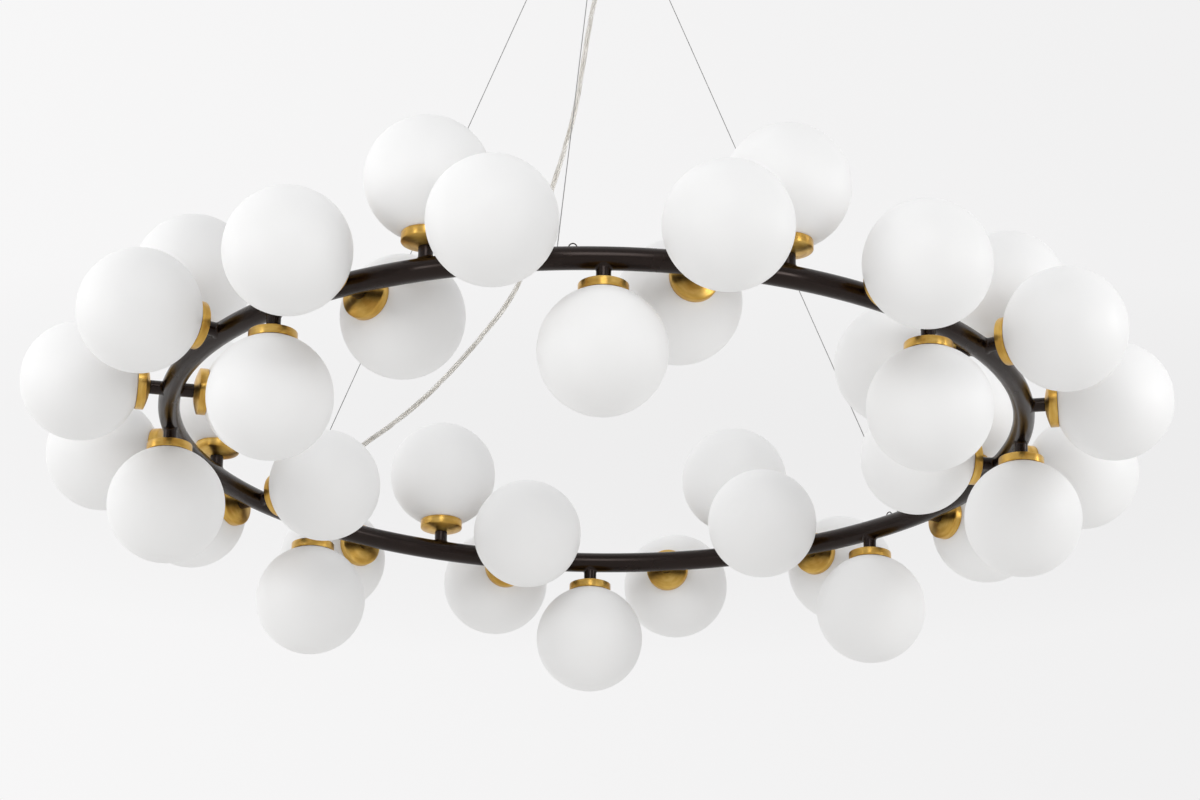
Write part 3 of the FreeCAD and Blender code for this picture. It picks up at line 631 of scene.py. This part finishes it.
def dress(node, finish):
    """Gives a solid that stays as it is a new material."""
    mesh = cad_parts[node].data
    mesh.materials.clear()
    mesh.materials.append(finish)


dress("lampholders", holder_ceramic)
dress("lamps", frosted_lamp)


# Black nylon glands grip the cord where it leaves the canopy and where it enters the ring: a
# round flange, and a tapered nose with grooves that lets the cord bend gently.
GLAND_LIFT = 0.0003
GLAND_TILT = 140.0
GLAND_AROUND = 40
GLAND_FOOT = [
    (0.003, -0.005), (0.0047, -0.005), (0.0049, -0.0046), (0.0049, 0.0), (0.0062, 0.0), (0.0065, 0.0003),
    (0.0065, 0.0021), (0.0061, 0.0025), (0.00556, 0.0026),
]
GLAND_END = [(0.00463, 0.0197), (0.0042, 0.0204), (0.0033, 0.0205), (0.003, 0.0202)]
NOSE_RADIUS = 0.00555
NOSE_TAPER = 0.00095
NOSE_START = 0.0025
NOSE_LENGTH = 0.018
GROOVES = 5
GROOVE_START = 0.005
GROOVE_STEP = 0.0029
GROOVE_DEPTH = 0.0006
GROOVE_EDGE = 0.0002
GROOVE_FLOOR = 0.001
GROOVE_WIDTH = 0.0012

gland_profile = list(GLAND_FOOT)
for groove in range(GROOVES):
    foot = GROOVE_START + groove * GROOVE_STEP
    wide = NOSE_RADIUS - NOSE_TAPER * (foot - NOSE_START) / NOSE_LENGTH
    deep = wide - GROOVE_DEPTH
    gland_profile += [
        (wide, foot), (deep, foot + GROOVE_EDGE), (deep, foot + GROOVE_FLOOR), (wide, foot + GROOVE_WIDTH),
    ]
gland_profile += GLAND_END

black_nylon = new_finish("black_nylon", (0.022, 0.022, 0.022), 0.48)
roughen(black_nylon, noise(black_nylon, 300.0), 0.42, 0.56)
emboss(black_nylon, noise(black_nylon, 1400.0, 2.0), 0.00002)
centre, along, across, out = arm_frame(CORD_PLANE, GLAND_TILT)
gland_frames = [
    (
        np.array([0.0, 0.0, -CANOPY_DEPTH]),
        np.array([1.0, 0.0, 0.0]), np.array([0.0, -1.0, 0.0]), np.array([0.0, 0.0, -1.0]),
    ),
    (centre + out * (TUBE_RADIUS + GLAND_LIFT), along, across, out),
]
gland = turned(gland_profile, GLAND_AROUND)
gland_faces = grid_faces(len(gland_profile), GLAND_AROUND, closed_rows=True)
glands = make_piece(
    "glands", stand(gland, gland_frames), repeat_faces(gland_faces, len(gland), len(gland_frames)),
    black_nylon, stands_for=["cord_glands"],
)


# The canopy is a cone of spun steel with a flat nose, rolled to a straight rim against the ceiling.
# Three bosses are welded in, square to the wires. It has the ring's finish.
CANOPY_WALL = 0.002
CANOPY_AROUND = 144
CORD_HOLE = 0.005
BOSS_AROUND = 48
cover_profile = [
    (CANOPY_RIM, 0.0), (CANOPY_RIM, -0.0042), (CANOPY_RIM - 0.0003, -0.0049), (CANOPY_RIM - 0.0009, -0.0056),
    (CANOPY_NOSE + 0.0018, -0.0388), (CANOPY_NOSE + 0.0010, -0.0394), (CANOPY_NOSE, -0.0398),
    (CANOPY_NOSE - 0.0012, -CANOPY_DEPTH), (CORD_HOLE, -CANOPY_DEPTH),
    (CORD_HOLE, CANOPY_WALL - CANOPY_DEPTH),
    (CANOPY_NOSE - 0.001, CANOPY_WALL - CANOPY_DEPTH), (CANOPY_RIM - CANOPY_WALL - 0.0004, -0.0053),
    (CANOPY_RIM - CANOPY_WALL, -0.0045), (CANOPY_RIM - CANOPY_WALL, 0.0),
]
boss_profile = [
    (0.005, 0.0015), (0.0081, 0.0015), (0.0085, 0.0011), (0.0086, 0.0007), (0.0091, 0.0003), (0.0100, 0.0),
    (0.0104, -0.0004), (0.0104, -0.001), (0.0085, -0.0025), (0.0085, -0.008), (0.005, -0.008),
]
cover = turned(cover_profile, CANOPY_AROUND)
cover_faces = grid_faces(len(cover_profile), CANOPY_AROUND, closed_rows=True)
boss = turned(boss_profile, BOSS_AROUND)
boss_faces = grid_faces(len(boss_profile), BOSS_AROUND, closed_rows=True)
make_piece(
    "canopy", np.concatenate([cover, stand(boss, wire_frames.values())]),
    np.concatenate([cover_faces, repeat_faces(boss_faces, len(boss), len(WIRES)) + len(cover)]),
    bronze_black, stands_for=["canopy_cover"], crease=30.0,
)


# Two domed steel screws with hexagon sockets hold the canopy up to the bracket. Each is turned,
# and painted with the canopy.
SCREW_HEAD = 0.0048
SCREW_PLACE = 0.02
SCREW_AROUND = 48
dome_turn = np.linspace(0.0, math.asin(3.0 / 4.8), 8)
dome = [(SCREW_HEAD * math.cos(t), -CANOPY_DEPTH - SCREW_HEAD * math.sin(t)) for t in dome_turn]
screw_profile = [(0.0, -0.0004), (0.0021, -0.0004), (0.0025, -0.0009), (0.0025, -CANOPY_DEPTH)] + dome
screw_profile += [(0.0034, -0.0431), (0.0015, -0.0431), (0.0014, -0.0429), (0.0014, -0.0413), (0.0, -0.0413)]
sockets = range(len(screw_profile) - 4, len(screw_profile) - 1)
level = [np.array(v) for v in ((1.0, 0.0, 0.0), (0.0, 1.0, 0.0), (0.0, 0.0, 1.0))]
screw_frames = [(np.array([x, 0.0, 0.0]), *level) for x in (-SCREW_PLACE, SCREW_PLACE)]
screw = turned(screw_profile, SCREW_AROUND, sockets)
screw_faces = grid_faces(len(screw_profile), SCREW_AROUND)
make_piece(
    "screws", stand(screw, screw_frames), repeat_faces(screw_faces, len(screw), len(screw_frames)),
    bronze_black, stands_for=["canopy_screws"], crease=30.0,
)


# Behind the canopy a zinc plated steel strap is screwed to the ceiling, with a nylon terminal
# block under it. Both keep the solids' own shapes.
zinc_strap = new_finish("zinc_strap", (0.5, 0.5, 0.49), 0.38, 0.9)
shade(zinc_strap, noise(zinc_strap, 90.0, 5.0), [(0.3, (0.40, 0.41, 0.41)), (0.7, (0.60, 0.60, 0.57))])
roughen(zinc_strap, noise(zinc_strap, 240.0), 0.3, 0.5)
terminal_nylon = new_finish("terminal_nylon", (0.72, 0.71, 0.66), 0.5)
shade(terminal_nylon, noise(terminal_nylon, 120.0), [(0.3, (0.68, 0.67, 0.61)), (0.7, (0.76, 0.75, 0.70))])
dress("ceiling_bracket", zinc_strap)
dress("terminal_block", terminal_nylon)


# Each wire is held by a nickel plated gripper: a stud in the boss, a hexagon flange, and a plain
# barrel. The collar at its end is pressed in to let the wire slide.
GRIPPER_AROUND = 48
COLLAR_AROUND = 40
HEXAGON_ROWS = (4, 5, 6, 7)
gripper_profile = [
    (0.0007, -0.012), (0.0046, -0.012), (0.0049, -0.0117), (0.0049, 0.0016), (0.0057, 0.0016),
    (0.00606, 0.0019), (0.00606, 0.0047), (0.0057, 0.005), (0.005, 0.0051), (0.005, 0.0066),
    (0.0047, 0.0069), (0.0047, 0.0074), (0.005, 0.0077), (0.005, 0.0164), (0.0045, 0.017),
    (0.0031, 0.017), (0.0031, 0.012), (0.0007, 0.012),
]
collar_profile = [
    (0.0007, 0.0143), (0.0026, 0.0143), (0.0028, 0.0145), (0.0028, 0.0193), (0.0037, 0.0193),
    (0.004, 0.0196), (0.004, 0.0209), (0.0036, 0.0213), (0.0011, 0.0213), (0.0007, 0.0209),
]
gripper = turned(gripper_profile, GRIPPER_AROUND, HEXAGON_ROWS)
gripper_faces = grid_faces(len(gripper_profile), GRIPPER_AROUND, closed_rows=True)
make_piece(
    "grippers", stand(gripper, wire_frames.values()),
    repeat_faces(gripper_faces, len(gripper), len(WIRES)),
    nickel, stands_for=["wire_grippers"], crease=30.0,
)
for name, place in wire_frames.items():
    make_piece(
        "collar_" + name, stand(turned(collar_profile, COLLAR_AROUND), [place]),
        grid_faces(len(collar_profile), COLLAR_AROUND, closed_rows=True), nickel,
        body="release_collar_" + name, stands_for=["release_collar_" + name], crease=30.0,
    )


# A pale room. Daylight comes from above, the left and behind the ring, and five soft lamps fill in
# from the front. The walls show nearly white, and only glossy finishes see that they are darker on
# the camera's side. A plain floor lies well below.
FLOOR_HEIGHT = -8.0
FLOOR_SIZE = 140.0
FLOOR_LIFT = 0.16
DAYLIGHT = (-0.70, 0.87, 0.75)
WALL_SHADE = (0.0, 0.0, 0.345)
WALL_RISE = (0.8, 0.0, 4.0)
WALL_SLOPE = (-0.15, 0.0, 0.0)
WALL_MIDDLE = 0.857
WALL_EVEN = 0.905
WALL_TOP = 0.955
WALL_COLOUR = (1.0, 0.996, 0.998, 1.0)
UNLIT_SIDE = (0.0, 0.4, 0.0)
LAMP_TARGET = (0.0, 0.0, -0.6)
LAMP_TURN = (0.0, 1.0, 0.3)

world = bpy.data.worlds.new("room")
bpy.context.scene.world = world
world.use_nodes = True
nodes = world.node_tree.nodes
links = world.node_tree.links
direction = nodes.new("ShaderNodeTexCoord").outputs["Generated"]


def reckon(kind, operation, first, second):
    """A maths node that works on one socket and a fixed value, or on two sockets."""
    node = nodes.new(kind)
    node.operation = operation
    links.new(first, node.inputs[0])
    if isinstance(second, bpy.types.NodeSocket):
        links.new(second, node.inputs[1])
    else:
        node.inputs[1].default_value = second
    return node.outputs["Value" if operation == "DOT_PRODUCT" or kind == "ShaderNodeMath" else "Vector"]


weighted = reckon("ShaderNodeVectorMath", "MULTIPLY", direction, DAYLIGHT)
lit = reckon("ShaderNodeVectorMath", "MAXIMUM", weighted, (0.0, 0.0, 0.0))
daylight = nodes["Background"]
links.new(reckon("ShaderNodeVectorMath", "DOT_PRODUCT", lit, (1.0, 1.0, 1.0)), daylight.inputs["Strength"])
daylight.inputs["Color"].default_value = (1.0, 1.0, 1.0, 1.0)
from_shade = reckon("ShaderNodeVectorMath", "SUBTRACT", direction, WALL_SHADE)
away = reckon("ShaderNodeVectorMath", "MULTIPLY", from_shade, WALL_RISE)
bowl = reckon("ShaderNodeVectorMath", "DOT_PRODUCT", away, away)
raised = reckon("ShaderNodeMath", "ADD", bowl, WALL_MIDDLE)
even = reckon("ShaderNodeMath", "MINIMUM", raised, WALL_EVEN)
sloped = reckon("ShaderNodeVectorMath", "DOT_PRODUCT", direction, WALL_SLOPE)
pale = reckon("ShaderNodeMath", "ADD", even, sloped)
pale = reckon("ShaderNodeMath", "MINIMUM", pale, WALL_TOP)
ray = nodes.new("ShaderNodeLightPath").outputs
behind = reckon("ShaderNodeVectorMath", "DOT_PRODUCT", direction, UNLIT_SIDE)
behind = reckon("ShaderNodeMath", "MINIMUM", behind, 0.0)
unlit = reckon("ShaderNodeMath", "MULTIPLY", behind, ray["Is Glossy Ray"])
walls = nodes.new("ShaderNodeBackground")
walls.inputs["Color"].default_value = WALL_COLOUR
links.new(reckon("ShaderNodeMath", "ADD", pale, unlit), walls.inputs["Strength"])
seen = reckon("ShaderNodeMath", "MAXIMUM", ray["Is Camera Ray"], ray["Is Glossy Ray"])
seen = reckon("ShaderNodeMath", "MAXIMUM", seen, ray["Is Transmission Ray"])
choice = nodes.new("ShaderNodeMixShader")
links.new(seen, choice.inputs["Fac"])
links.new(daylight.outputs["Background"], choice.inputs[1])
links.new(walls.outputs["Background"], choice.inputs[2])
links.new(choice.outputs["Shader"], nodes["World Output"].inputs["Surface"])


def soft_light(name, place, width, power):
    """A square soft lamp of a width in metres and a power in watts, turned to the ring's middle."""
    data = bpy.data.lights.new(name, "AREA")
    data.size = width
    data.energy = power
    lamp = bpy.data.objects.new(name, data)
    back = np.array(place) - np.array(LAMP_TARGET)
    back /= np.linalg.norm(back)
    side = np.cross(LAMP_TURN, back)
    side /= np.linalg.norm(side)
    pose = np.eye(4)
    pose[:3, 0] = side
    pose[:3, 1] = np.cross(back, side)
    pose[:3, 2] = back
    pose[:3, 3] = place
    lamp.matrix_world = pose.T.tolist()
    lamp.visible_camera = False
    bpy.context.scene.collection.objects.link(lamp)


soft_light("front", (0.0, -3.4, 0.6), 1.4, 23.0)
soft_light("near_left", (-1.8, -0.4, -0.4), 0.6, 2.8)
soft_light("near_right", (1.8, -0.4, -0.4), 0.6, 6.0)
soft_light("front_left", (-3.0, -3.0, -0.8), 0.9, 17.5)
soft_light("front_right", (3.0, -3.0, -0.8), 1.0, 23.0)

floor_mesh = bpy.data.meshes.new("floor")
corners = np.array([(-1, -1), (1, -1), (1, 1), (-1, 1)]) * FLOOR_SIZE / 2
floor_mesh.from_pydata([(x, y, FLOOR_HEIGHT) for x, y in corners], [], [(0, 1, 2, 3)])
floor = bpy.data.objects.new("floor", floor_mesh)
bpy.context.scene.collection.objects.link(floor)
floor_finish = new_finish("pale_floor", (0.9, 0.893, 0.882), 0.7)
shade(
    floor_finish, noise(floor_finish, 1.5, 4.0),
    [(0.3, (0.888, 0.881, 0.87)), (0.7, (0.912, 0.905, 0.894))],
)
paler = floor_finish.node_tree.nodes.new("ShaderNodeMapRange")
paler.inputs["To Max"].default_value = FLOOR_LIFT
sight = floor_finish.node_tree.nodes.new("ShaderNodeLightPath").outputs["Is Camera Ray"]
floor_finish.node_tree.links.new(sight, paler.inputs["Value"])
seen_floor = floor_finish.node_tree.nodes["Principled BSDF"].inputs
floor_finish.node_tree.links.new(paler.outputs["Result"], seen_floor["Emission Strength"])
seen_floor["Emission Color"].default_value = (1.0, 0.99, 0.98, 1.0)
floor_mesh.materials.append(floor_finish)

bpy.context.scene.view_settings.view_transform = "Standard"
